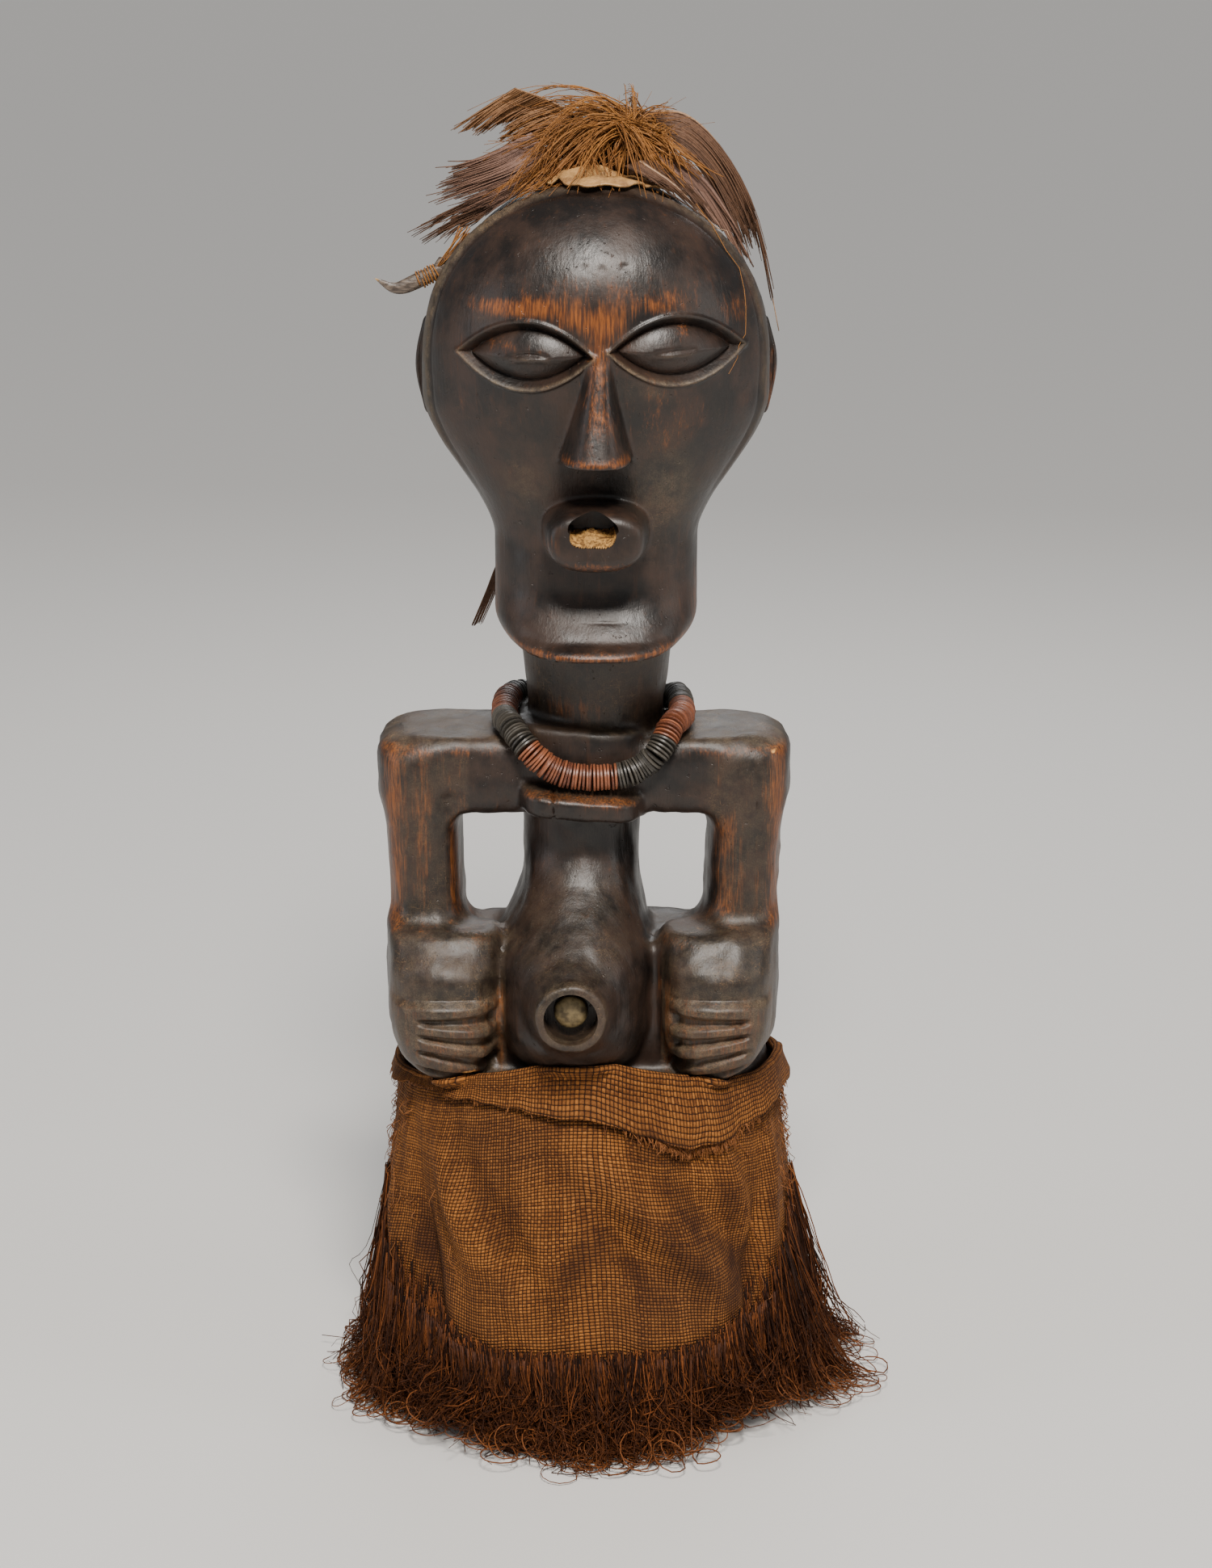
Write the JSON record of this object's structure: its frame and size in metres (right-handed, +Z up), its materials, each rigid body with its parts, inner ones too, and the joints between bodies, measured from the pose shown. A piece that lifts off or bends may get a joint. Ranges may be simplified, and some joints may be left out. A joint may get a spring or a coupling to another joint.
{
  "type": "carved power figure",
  "caption": "Standing carved wooden power figure with hands on its belly, feather and fibre headdress, disc-bead necklace, plugged navel and fringed raffia skirt.",
  "frame": {"origin": "on the ground, in the middle of the footprint of the skirt's fringe; the figure's own axis is 10 mm to the -X side of it", "axes": "+Z up along the figure's height; the figure faces -Y; +X is on the right of someone who looks at its face"},
  "size_m": [0.336, 0.32, 0.7533],
  "materials": {
    "dark_wood": "dark, glossy with handling",
    "plug_wood": "matt, worn",
    "red_bead": "satin",
    "black_bead": "satin",
    "raffia_cloth": "coarse plain weave",
    "raffia_fibre": "loose fibre",
    "tuft_fibre": "loose fibre",
    "hide": "dry, matt",
    "feather": "matt vane",
    "claw": "horn, satin"
  },
  "bodies": {
    "root": {"carved_figure": "dark_wood", "navel_plug": "plug_wood", "necklace_run_1": "red_bead", "necklace_run_2": "black_bead", "necklace_run_3": "red_bead", "necklace_run_4": "black_bead", "necklace_run_5": "red_bead", "necklace_run_6": "black_bead", "necklace_run_7": "red_bead", "necklace_run_8": "black_bead", "hide_patch": "hide", "feather_top": "feather", "feather_left": "feather", "feather_low_left": "feather", "feather_right": "feather", "feather_front_right": "feather", "feather_brow": "feather", "hanging_strip": "feather", "raffia_tuft": "tuft_fibre", "claw": "claw", "skirt_cloth": "raffia_cloth", "skirt_fringe": "raffia_fibre"}
  },
  "joints": []
}
